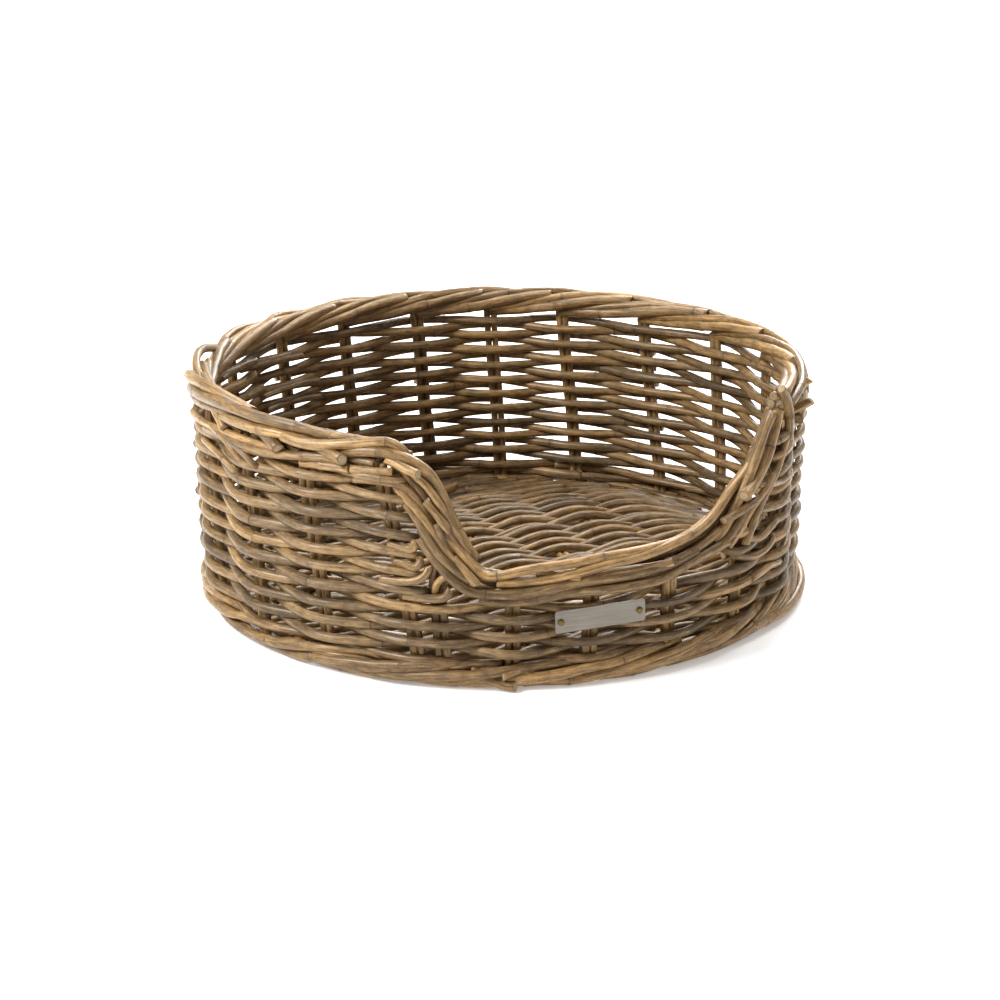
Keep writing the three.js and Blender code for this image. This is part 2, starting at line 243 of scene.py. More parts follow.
    def build(self, name, mats, replaces=()):
        V = np.concatenate(self.v) * MM
        quads = np.concatenate([f for k, f in self.f if k == "q"])
        tris = np.concatenate([f for k, f in self.f if k == "t"])
        me = bpy.data.meshes.new(name)
        nq, nt = len(quads), len(tris)
        me.vertices.add(len(V))
        me.vertices.foreach_set("co", V.astype(np.float32).ravel())
        me.loops.add(nq * 4 + nt * 3)
        me.loops.foreach_set("vertex_index", np.concatenate([quads.ravel(), tris.ravel()]).astype(np.int32))
        me.polygons.add(nq + nt)
        start = np.concatenate([np.arange(nq) * 4, nq * 4 + np.arange(nt) * 3]).astype(np.int32)
        me.polygons.foreach_set("loop_start", start)
        me.update(calc_edges=True)
        me.validate()
        me.polygons.foreach_set("use_smooth", np.concatenate([np.ones(nq, bool), np.zeros(nt, bool)]))
        me.attributes.new("rod_co", "FLOAT_VECTOR", "POINT").data.foreach_set(
            "vector", np.concatenate(self.co).astype(np.float32).ravel())
        me.attributes.new("rod_rnd", "FLOAT_VECTOR", "POINT").data.foreach_set(
            "vector", np.concatenate(self.rnd).astype(np.float32).ravel())
        me.attributes.new("rod_nd", "FLOAT", "POINT").data.foreach_set(
            "value", np.concatenate(self.nd).astype(np.float32))
        me.attributes.new("rod_cut", "FLOAT", "FACE").data.foreach_set(
            "value", np.concatenate([np.zeros(nq), np.ones(nt)]).astype(np.float32))
        me.materials.append(mats)
        o = bpy.data.objects.new(name, me)
        bpy.context.scene.collection.objects.link(o)
        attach(o, "root")
        if replaces:
            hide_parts(*replaces)
        return o


# --------------------------------------------------------------------------
# materials
# --------------------------------------------------------------------------
def srgb(r, g, b):
    f = lambda c: (c / 12.92 if c <= 0.04045 else ((c + 0.055) / 1.055) ** 2.4)
    return (f(r / 255), f(g / 255), f(b / 255), 1.0)


def rattan(name, ramp, dark=1.0, rough=0.46, coat=0.12):
    """Bark-skinned rod: per-rod tint, long grain streaks, scuffs, dark node rings, fine cross crazing, pale pithy cut ends."""
    m = bpy.data.materials.new(name)
    m.use_nodes = True
    nt = m.node_tree
    nt.nodes.clear()
    N, Lk = nt.nodes, nt.links

    def node(kind, **kw):
        n = N.new(kind)
        for k, v in kw.items():
            setattr(n, k, v)
        return n

    def math_(op, a, b=None, c=None, clamp=False):
        n = node("ShaderNodeMath", operation=op, use_clamp=clamp)
        for i, x in enumerate((a, b, c)):
            if x is None:
                continue
            if isinstance(x, (int, float)):
                n.inputs[i].default_value = x
            else:
                Lk.new(x, n.inputs[i])
        return n.outputs[0]

    def vmul(v, s):
        n = node("ShaderNodeVectorMath", operation="MULTIPLY")
        Lk.new(v, n.inputs[0])
        n.inputs[1].default_value = s
        return n.outputs[0]

    def vadd(v, w):
        n = node("ShaderNodeVectorMath", operation="ADD")
        Lk.new(v, n.inputs[0])
        Lk.new(w, n.inputs[1])
        return n.outputs[0]

    def noise(v, scale, detail=2.0, rough_=0.5):
        n = node("ShaderNodeTexNoise")
        Lk.new(v, n.inputs["Vector"])
        n.inputs["Scale"].default_value = scale
        n.inputs["Detail"].default_value = detail
        n.inputs["Roughness"].default_value = rough_
        return n.outputs["Fac"]

    def remap(x, a, b, c, d):
        n = node("ShaderNodeMapRange", interpolation_type="SMOOTHSTEP")
        Lk.new(x, n.inputs["Value"])
        for k, v in zip(("From Min", "From Max", "To Min", "To Max"), (a, b, c, d)):
            n.inputs[k].default_value = v
        return n.outputs["Result"]

    def mix(fac, a, b, blend="MIX"):
        n = node("ShaderNodeMix", data_type="RGBA", blend_type=blend)
        for sock, x in ((n.inputs[0], fac), (n.inputs[6], a), (n.inputs[7], b)):
            if isinstance(x, tuple):
                sock.default_value = x
            elif isinstance(x, (int, float)):
                sock.default_value = x
            else:
                Lk.new(x, sock)
        return n.outputs[2]

    co = node("ShaderNodeAttribute", attribute_name="rod_co").outputs["Vector"]
    rnd = node("ShaderNodeAttribute", attribute_name="rod_rnd").outputs["Vector"]
    nd = node("ShaderNodeAttribute", attribute_name="rod_nd").outputs["Fac"]
    cut = node("ShaderNodeAttribute", attribute_name="rod_cut").outputs["Fac"]
    sep = node("ShaderNodeSeparateXYZ")
    Lk.new(rnd, sep.inputs[0])
    r1, r2, r3 = sep.outputs

    # slow tint: one value per rod plus drift along it
    slow = noise(vmul(co, (0.06, 0.06, 0.011)), 1.0, 2.0)
    tint = math_("ADD", math_("MULTIPLY", r1, 0.62), math_("MULTIPLY", slow, 0.62))
    cr = node("ShaderNodeValToRGB")
    el = cr.color_ramp.elements
    while len(el) > 1:
        el.remove(el[-1])
    el[0].position, el[0].color = ramp[0][0], srgb(*ramp[0][1])
    for p, c in ramp[1:]:
        e = el.new(p)
        e.color = srgb(*c)
    Lk.new(math_("SUBTRACT", tint, 0.12, clamp=True), cr.inputs[0])
    col = cr.outputs[0]
    # long grain: fine streaks and broader bands that run with the rod
    fine = noise(vmul(co, (1.5, 1.5, 0.035)), 1.0, 4.0, 0.62)
    band = noise(vmul(co, (0.42, 0.42, 0.018)), 1.0, 2.0)
    k1 = remap(fine, 0.34, 0.66, 0.68, 1.20)
    k2 = remap(band, 0.32, 0.68, 0.76, 1.17)
    shade = math_("MULTIPLY", k1, k2)
    # mottling and darker weathered lengths
    mott = noise(vmul(co, (0.35, 0.35, 0.10)), 1.0, 5.0, 0.65)
    shade = math_("MULTIPLY", shade, remap(mott, 0.34, 0.64, 0.69, 1.15))
    shade = math_("MULTIPLY", shade, dark * 0.79)
    comb = node("ShaderNodeCombineColor")
    for i, k in enumerate((1.0, 0.975, 0.915)):
        Lk.new(math_("MULTIPLY", shade, k), comb.inputs[i])
    col = mix(1.0, col, comb.outputs[0], "MULTIPLY")
    # scuffs where the bark has split off, and dark bark flecks
    fleck = noise(vmul(co, (0.55, 0.55, 0.16)), 1.0, 5.0, 0.7)
    col = mix(remap(fleck, 0.56, 0.66, 0.0, 0.62), col, srgb(62, 44, 27))
    pale = noise(vmul(vadd(co, rnd), (0.30, 0.30, 0.05)), 1.3, 4.0, 0.6)
    col = mix(remap(pale, 0.56, 0.70, 0.0, 0.50), col, srgb(182, 152, 112))
    # fine crazing across the rod, stronger on some lengths
    craz = node("ShaderNodeTexVoronoi", feature="DISTANCE_TO_EDGE")
    Lk.new(vmul(co, (0.42, 0.42, 0.95)), craz.inputs["Vector"])
    craz.inputs["Scale"].default_value = 1.0
    where = remap(noise(vmul(co, (0.02, 0.02, 0.03)), 1.0, 1.0), 0.45, 0.62, 0.0, 1.0)
    crack = math_("MULTIPLY", remap(craz.outputs["Distance"], 0.0, 0.07, 1.0, 0.0), where)
    col = mix(math_("MULTIPLY", crack, 0.42), col, srgb(70, 50, 32))
    # node rings
    dist = math_("ABSOLUTE", nd)
    wob = math_("MULTIPLY", math_("SUBTRACT", noise(vmul(co, (0.6, 0.6, 0.05)), 1.0, 2.0), 0.5), 1.6)
    dist = math_("ABSOLUTE", math_("ADD", nd, wob))
    some = remap(noise(vmul(co, (0.0, 0.0, 0.013)), 1.0, 0.0), 0.40, 0.60, 0.15, 1.0)
    ringd = math_("MULTIPLY", remap(dist, 0.10, 0.95, 1.0, 0.0), some)
    halo = remap(dist, 0.8, 7.0, 1.0, 0.0)
    col = mix(math_("MULTIPLY", halo, 0.28), col, srgb(96, 72, 46))
    col = mix(math_("MULTIPLY", ringd, 0.72), col, srgb(52, 35, 20))
    # cut ends: pale ragged pith with a dark rim
    sc = node("ShaderNodeSeparateXYZ")
    Lk.new(co, sc.inputs[0])
    rad = math_("SQRT", math_("ADD", math_("MULTIPLY", sc.outputs[0], sc.outputs[0]),
                              math_("MULTIPLY", sc.outputs[1], sc.outputs[1])))
    pith = noise(vmul(co, (2.2, 2.2, 0.3)), 1.0, 3.0, 0.6)
    pc = mix(remap(pith, 0.35, 0.65, 0.0, 1.0), srgb(196, 176, 140), srgb(128, 104, 74))
    pc = mix(remap(rad, 2.5, 3.6, 0.0, 0.5), pc, srgb(84, 62, 40))
    col = mix(cut, col, pc)

    bs = node("ShaderNodeBsdfPrincipled")
    Lk.new(col, bs.inputs["Base Color"])
    ro = remap(fine, 0.3, 0.7, rough + 0.10, rough - 0.06)
    ro = math_("ADD", ro, math_("MULTIPLY", remap(mott, 0.35, 0.65, 0.0, 1.0), 0.12))
    ro = math_("ADD", ro, math_("MULTIPLY", cut, 0.35), clamp=True)
    Lk.new(ro, bs.inputs["Roughness"])
    bs.inputs["Specular IOR Level"].default_value = 0.45
    bs.inputs["Coat Weight"].default_value = coat
    bs.inputs["Coat Roughness"].default_value = 0.24
    h = math_("ADD", math_("MULTIPLY", fine, 0.55), math_("MULTIPLY", mott, 0.45))
    h = math_("SUBTRACT", h, math_("MULTIPLY", crack, 0.35))
    h = math_("SUBTRACT", h, math_("MULTIPLY", ringd, 0.7))
    h = math_("ADD", h, math_("MULTIPLY", math_("MULTIPLY", cut, pith), 1.2))
    bp = node("ShaderNodeBump")
    bp.inputs["Strength"].default_value = 0.7
    bp.inputs["Distance"].default_value = 0.00045
    Lk.new(h, bp.inputs["Height"])
    Lk.new(bp.outputs[0], bs.inputs["Normal"])
    out = node("ShaderNodeOutputMaterial")
    Lk.new(bs.outputs[0], out.inputs[0])
    return m


TAN = [(0.0, (92, 74, 52)), (0.22, (124, 103, 74)), (0.42, (152, 126, 90)), (0.60, (166, 138, 98)),
       (0.78, (178, 144, 98)), (0.92, (140, 122, 92)), (1.0, (190, 160, 114))]
GREY = [(0.0, (86, 70, 50)), (0.25, (116, 96, 68)), (0.5, (138, 116, 82)), (0.75, (156, 130, 90)), (1.0, (168, 140, 98))]
WARM = [(0.0, (112, 90, 60)), (0.25, (146, 118, 80)), (0.5, (172, 140, 96)), (0.75, (192, 156, 106)), (1.0, (150, 128, 92))]
M_WEAVER = rattan("rattan_weaver", TAN, rough=0.44, coat=0.22)
# painted light: the stakes' rattan is drawn 1.3 times lighter than the weavers' to offset the shade the stakes sit in
# behind the rows; the base sticks use it too
M_STAKE_PAINTED_LIGHTER = rattan("rattan_stake", TAN, dark=1.3)
M_BORDER = rattan("rattan_border", WARM, rough=0.40, coat=0.28)
M_BASE = rattan("rattan_base", TAN, dark=0.94, rough=0.32, coat=0.5)

# --------------------------------------------------------------------------
# wall rows
# --------------------------------------------------------------------------
HALF_D = 3.2
FIRST, LAST = -1, 13   # the stakes at the right and left sides of the entry, seen from the front (311 deg is -49)


def right_stake(z):
    return -3 if z < 97 else -2      # 295.5 deg or 311 deg


# each row as rods between joints; a joint is at a stake the row passes on the inside
plan = []


def joint_ok(i, r):
    """Rod ends lie outside the wall round the back and inside it round the front."""
    t = stake_angle(i, 100) % 360
    return (side(i, r) > 0) == (8 < t < 172)


def next_joint(i, r, step=1):
    while not joint_ok(i, r):
        i += step
    return i


start_at = right_stake(Z0 + PITCH * 6.5)
for r in range(1, ROWS + 1):
    rr = np.random.default_rng(300 + r)
    zr = Z0 + PITCH * (r - 0.5)
    if r <= 6:
        s0 = next_joint(int(rr.integers(0, 20)), r)
        c = next_joint(s0 + 10 + int(rr.integers(-2, 3)), r)
        plan.append(dict(r=r, ring=True, pts=[s0, c, s0 + 20], up=True))
    else:
        up = r % 2 == 1
        end = LAST if up else right_stake(zr)
        mids = [4 + int(rr.integers(-1, 2))] if rr.random() < 0.6 else [1 + int(rr.integers(-1, 2)), 8 + int(rr.integers(-1, 2))]
        mids = [next_joint(c, r) for c in mids]
        if not up:
            mids = mids[::-1]
        plan.append(dict(r=r, ring=False, pts=[start_at] + mids + [end], up=up))
        step = 1 if up else -1
        start_at = end - step * (1 if side(end - step, r + 1) < 0 else 2)

# radius of each row as a function of angle, from its rods' tapers
GRID = np.arange(-80, 441, 2.0)
dia = np.zeros((ROWS, len(GRID)))
rods_of = []
for p in plan:
    r = p["r"]
    rr = np.random.default_rng(900 + r)
    zr = Z0 + PITCH * (r - 0.5)
    ang = lambda i: float(stake_angle(i, zr))
    rods = []
    for c0, c1 in zip(p["pts"][:-1], p["pts"][1:]):
        rods.append([c0, c1, rr.uniform(3.6, 4.4), rr.uniform(3.05, 3.55)])
    rods_of.append(rods)
    d = np.zeros(len(GRID))
    w = np.zeros(len(GRID))
    for c0, c1, ra, rb in rods:
        x0, x1 = ang(c0), ang(c1)
        for sh in (-360, 0, 360):
            g = GRID + sh
            t = (g - x0) / (x1 - x0)
            ok = (t >= 0) & (t <= 1)
            d[ok] += 2 * (ra + (rb - ra) * t[ok])
            w[ok] += 1
    d = np.where(w > 0, d / np.maximum(w, 1), 7.1)
    k = np.exp(-0.5 * (np.arange(-12, 13) / 5.0) ** 2)
    k /= k.sum()
    d = np.convolve(np.r_[d[:12][::-1], d, d[-12:][::-1]], k, "valid")
    dia[r - 1] = d
total = dia.sum(0)
zc = np.zeros_like(dia)
for r in range(ROWS):
    zc[r] = Z0 + PITCH * ROWS * (dia[:r].sum(0) + dia[r] / 2) / total
for r in range(ROWS):
    rr = np.random.default_rng(60 + r)
    zc[r] += wander(len(GRID), 2.0, 26, 0.28, rr)


def row_z(r, th):
    th = np.mod(np.asarray(th, float) + 70, 360) - 70
    return np.interp(th, GRID, zc[r - 1])


def row_keys(r, i0, i1, amp):
    """Angle, offset keys of row r from stake i0 to stake i1 inclusive."""
    zr = Z0 + PITCH * (r - 0.5)
    step = 1 if i1 >= i0 else -1
    keys = []
    for i in range(i0, i1 + step, step):
        th = stake_angle(i, zr)
        w = amp * side(i, r)
        fl = math.degrees(8.6 / ARC)
        if i % 20 == 13 and zr < 86:      # the doubled post
            keys += [(th - step * fl if step > 0 else th + fl + 4.6, w), (th + fl + 4.6 if step > 0 else th - fl, w)]
        else:
            keys += [(th - step * fl, w), (th + step * fl, w)]
    return keys


def path_from(keys3, sig=5.0):
    """keys3: rows of (arc mm, offset, z). Returns the smoothed path in the same space, 1 mm apart."""
    return blur(resample(np.array(keys3), 1.0), sig)


def to_world(K):
    return wall(np.degrees(K[:, 0] / ARC), K[:, 2], K[:, 1])


# rod ends left long on the inside
LOOSE_LEFT = [
    (3.0, [(147.4, -4, 160.2), (142.2, -7.3, 161.7), (137.6, -10.3, 163.3), (133.5, -13, 162.8)]),
    (3.2, [(137.5, -6, 158.2), (129.3, -8, 154.4), (122.8, -10, 153), (116.9, -12, 151.9)]),
    (3.4, [(142.5, -4, 143), (138.5, -8, 144.2), (136.5, -12, 147.9), (135, -16, 153)]),
    (4.3, [(138.2, -4, 130.9), (135.5, -8, 132.7), (133.2, -12, 135.3), (131.5, -16, 136.7)]),
    (3.2, [(128.8, -5, 124.1), (123.2, -7.7, 125.3), (117.4, -10.3, 125.9), (112.6, -13, 125.1)]),
    (3.2, [(127.6, -5, 109.8), (122.1, -7.7, 111.1), (116.9, -10, 111.2), (112.2, -12, 109.4)]),
]
LOOSE_AT = {}
for rad_, KL_ in LOOSE_LEFT:
    LOOSE_AT.setdefault(int(np.clip(round((np.mean([k[2] for k in KL_]) - Z0) / PITCH + 0.5), 1, ROWS)), []).append((rad_, KL_))

for p, rods in zip(plan, rods_of):
    r = p["r"]
    zr = Z0 + PITCH * (r - 0.5)
    B = Bundle()
    rr = np.random.default_rng(1500 + r)
    for k, (c0, c1, ra, rb) in enumerate(rods):
        amp = (HALF_D + 0.5 * (ra + rb) + 0.15) * 1.10
        step = 1 if c1 >= c0 else -1
        keys = row_keys(r, c0, c1, amp)
        th0, th1 = keys[0][0], keys[-1][0]
        thc0, thc1 = stake_angle(c0, zr), stake_angle(c1, zr)
        first = r == 7 and k == 0
        last = not p["ring"] and k == len(rods) - 1
        # ends lie on the inside of a stake, cut off against it
        e0, e1 = rr.uniform(3.5, 6.5), rr.uniform(3.5, 6.5)
        K = []
        lift = 1.9
        A = lambda t: math.radians(t) * ARC
        K.append((A(thc0) - step * e0, keys[0][1] * (1.0 if first else 1.12), 0.0))
        for th, w in keys:
            K.append((A(th), w, 0.0))
        tail = []
        if last and r < ROWS:
            # round the last stake and back as the next row, to its first inside stake
            w = keys[-1][1]
            zz = PITCH
            x = A(thc1)
            tail = [(x + step * 13.0, w * 0.95, 0.15 * zz), (x + step * 17.0, w * 0.35, 0.38 * zz),
                    (x + step * 17.0, -w * 0.35, 0.62 * zz), (x + step * 13.0, -w * 0.95, 0.85 * zz)]
            K += tail
            nk = [q for q in row_keys(r + 1, c1, c1 - step * (1 if side(c1 - step, r + 1) < 0 else 2), amp)][1:]
            for th, w in nk:
                K.append((A(th), w, zz))
            endj = K[-1]
            K.append((endj[0] - step * 7, endj[1] * 1.1, zz))
        else:
            K.append((A(thc1) + step * e1, keys[-1][1] * 1.12, 0.0))
        K = np.array(K)
        Q = path_from(K)
        # heights: the row's own, blended to the next row's after the turn
        thq = np.degrees(Q[:, 0] / ARC)
        f = np.clip(Q[:, 2] / PITCH, 0, 1)
        z = row_z(r, thq) * (1 - f) + row_z(min(r + 1, ROWS), thq) * f
        n = len(Q)
        s = np.arange(n)
        # at a joint the old tip lies above and the new butt below
        if not first:
            z = z - lift * np.exp(-0.5 * (np.maximum(s - 12, 0) / 16.0) ** 2)
        if not last:
            z = z + lift * np.exp(-0.5 * (np.maximum(n - 1 - s - 12, 0) / 16.0) ** 2)
        elif r < ROWS:
            z = z + lift * np.exp(-0.5 * (np.maximum(n - 1 - s - 8, 0) / 14.0) ** 2)
        z = z + wander(n, 1.0, 45, 0.22, rr)
        off = Q[:, 1] + wander(n, 1.0, 60, 0.30, rr)
        P = wall(thq, z, off)
        B.rod(P, ra * 1.035, rb * 1.035, 5000 + r * 40 + k, slant=(rr.uniform(0.1, 0.5), rr.uniform(0.1, 0.5)), sides=12)
    if r in LOOSE_AT:
        for kk, (rad, KL) in enumerate(LOOSE_AT[r]):
            A = np.array([(math.radians(t) * ARC, o, z) for t, o, z in KL])
            B.rod(to_world(blur(resample(A, 1.0), 4)), rad, rad * 0.97, 5900 + r * 9 + kk, slant=(0.2, 0.45), nodes=150)
    B.build("weaver_row_%02d_rods" % r, M_WEAVER, ["weaver_row_%02d" % r])


# --------------------------------------------------------------------------
# entry line, stakes
# --------------------------------------------------------------------------
def catmull(K, n=24):
    K = np.asarray(K, float)
    E = np.vstack([2 * K[0] - K[1], K, 2 * K[-1] - K[-2]])
    out = []
    for i in range(1, len(E) - 2):
        p0, p1, p2, p3 = E[i - 1], E[i], E[i + 1], E[i + 2]
        t = np.linspace(0, 1, n, endpoint=False)[:, None]
        out.append(0.5 * ((2 * p1) + (p2 - p0) * t + (2 * p0 - 5 * p1 + 4 * p2 - p3) * t ** 2 + (3 * p1 - p0 - 3 * p2 + p3) * t ** 3))
    out.append(E[-2:-1])
    return np.concatenate(out)


EK = ENTRY.copy()
EK[:, 0] = np.radians(EK[:, 0]) * ARC
ENTRY_LINE = resample(catmull(EK), 1.0)     # arc mm, z


def entry_z(th):
    return float(np.interp(math.radians(th) * ARC, ENTRY_LINE[:, 0], ENTRY_LINE[:, 1]))


for i in range(20):
    B = Bundle()
    rr = np.random.default_rng(2200 + i)
    top = STAKES[i, 0]
    z1 = 172.0
    if 226 < top < 311:
        z1 = entry_z(STAKES[i, 0]) + 3
    if i == 18:
        z1 = 166.0
    z = np.arange(3.0, z1, 2.0)
    sway = wander(len(z), 2.0, 50, 0.45, rr)
    for j, sgn in enumerate((-1, 1)):
        ra = rr.uniform(2.95, 3.25)
        th = stake_angle(i, z) + np.degrees(sgn * (ra - 0.02) / ARC) + np.degrees(sway / ARC)
        P = wall(th, z, wander(len(z), 2.0, 60, 0.35, rr))
        B.rod(P, ra * 1.04, ra * 0.96, 7000 + i * 10 + j, slant=(0.1, 0.2), nodes=120, tone=(rr.uniform(0.15, 0.85), 0.5))
    if i == 13:
        # the second pair beside it, which leans into the entry's border
        for j, sgn in enumerate((-1, 1)):
            zz = np.array([3, 30, 60, 80, 92, 104, 116, 130.0])
            th = np.array([237.4, 237.0, 236.6, 236.2, 236.6, 237.4, 236.9, 236.0]) + np.degrees(sgn * 3.15 / ARC)
            K = resample(np.stack([np.radians(th) * ARC, np.array([0, 0, 0, 0.3, 1.2, 3.5, 5.0, 6.0]), zz], -1), 1.0)
            K = blur(K, 6)
            B.rod(to_world(K), 3.3, 3.2, 7600 + j, slant=(0.1, 0.4), nodes=110, tone=(0.1, 0.5))
    B.build("stake_pair_%02d_rods" % (i + 1), M_STAKE_PAINTED_LIGHTER, ["stake_pair_%02d" % (i + 1)])


# rods of the borders that are laid one by one: (radius, [(angle, outward offset, height), ...])
RIM_LEFT = [
    (4.6, [(168, 9.5, 189), (180.2, 8.2, 196.7), (186.2, 5, 195.9), (189.5, 0.6, 192.7), (192.1, -3.8, 189.4), (195.1, -7, 186.4)]),
    (4.5, [(166, 8, 176), (174.4, 9, 184.3), (186.2, 9.6, 190), (192.5, 9.9, 192), (197.2, 9.3, 192.5), (201.2, 8.1, 191.5), (205.8, 5.9, 190.8), (209.9, 3, 189.8), (213.8, -0.3, 187.3), (217.6, -2.8, 184.1), (220.3, -5, 181.5)]),
    (4.2, [(189.6, 7, 180.2), (195.2, 9, 181.8), (200, 9.7, 182.5), (205.1, 9, 183), (209.2, 5.7, 182), (213.1, 2.7, 180.2), (216.9, 0, 178.2)]),
    (4.0, [(207.8, 8, 181.6), (212, 8.8, 180.3), (215.9, 7, 180.9), (220.6, 4, 184), (225.1, 1, 186.7), (227.7, -1.3, 187.6), (229.3, -3, 184.9), (230.6, -4.5, 180), (231.6, -6, 171.3)]),
    (4.9, [(197, -1, 178.9), (201.5, 3.7, 179.2), (204.7, 8, 176.4), (207.3, 12, 172.6)]),
    (4.2, [(214.6, 2, 176.5), (217.1, 5.3, 176), (218.9, 8.3, 174.9), (220.6, 11, 173.7)]),
    (3.5, [(227.9, 1, 174.4), (230.2, 4.3, 172.5), (232.1, 7.3, 170.4), (234, 10, 168)]),
    (3.4, [(185.1, 6, 183), (187.9, 8, 179), (191.1, 10, 172.7)]),
    (3.5, [(180.8, 7, 160.4), (190.7, 8, 163.8), (199.4, 9, 165.2), (205.9, 8.5, 166.6), (211.7, 8, 169.7), (216.7, 6, 171.3), (220.4, 4, 169.2)]),
    (3.4, [(211, 5, 163), (216.8, 7, 165.4), (221.3, 7, 165.2)]),
    (3.2, [(221.4, 6, 165.8), (225.5, 7, 166.7), (229.3, 7, 167.7)]),
    (3.4, [(168, 8, 158), (186, 7, 166.5), (196.1, 8, 169.7), (202.1, 6.5, 168.9), (207.6, 5, 168)]),
]
RIM_LOOPS = [
    (3.6, [(171, -1, 184), (166, 3.0, 190.5), (160, 3.6, 195), (154, 2.0, 194.5), (147, 0, 187.5), (140, -1, 180)]),
    (3.7, [(150.3, -1, 173.2), (148.3, 1, 176.2), (141.8, 4.3, 181.1), (136.7, 9, 184), (131.3, 12, 185.1), (126.4, 12.3, 183.7), (122, 10.2, 180.7), (118.9, 6, 177.5)]),
    (3.4, [(134, -2, 174.9), (128.5, 1.3, 179.9), (123.4, 6, 183.5), (119.3, 10, 186.5), (114.8, 11.7, 185.1), (110.3, 10.3, 181.7), (106.5, 7, 177.7)]),
    (3.6, [(118.5, -2, 175.5), (113.6, 1.3, 179.4), (108.4, 6, 184), (103.6, 9.5, 186.6), (99.4, 10.7, 186.5), (94.9, 9.3, 184.3), (91.6, 6, 181.4)]),
]
WALL_LOOSE = [
    (2.7, [(185.1, 8, 166.4), (190.5, 10, 164.7), (194.2, 10, 157.7), (195.8, 6, 148.1)]),
    (2.5, [(178.1, 7, 147.8), (187, 10, 149.4), (191.4, 10, 144.7), (193.5, 6, 137.5)]),
    (2.6, [(189.1, 7, 166.8), (194.4, 10, 163.4), (198.1, 10, 157.7), (200.2, 7, 150.5)]),
]
RIM_RIGHT = [
    (4.2, [(-3.8, -6, 164.3), (-8.4, -4.7, 161.1), (-14.8, -3.3, 161.1), (-23.8, -2, 166.5)]),
    (4.4, [(-8.6, 2, 167.1), (-16.1, 3.5, 168.5), (-23, 5, 167.2), (-30, 6.5, 163), (-38, 6.5, 154)]),
    (3.6, [(-8, 8, 174.9), (-15.2, 9.3, 173.5), (-21.5, 10, 168), (-25.6, 10, 161)]),
    (3.4, [(-36, 0, 174), (-35.5, 7, 180), (-35, 13, 184)]),
    (3.4, [(-38, 0, 160), (-37.5, 9, 165), (-37, 16, 169)]),
]
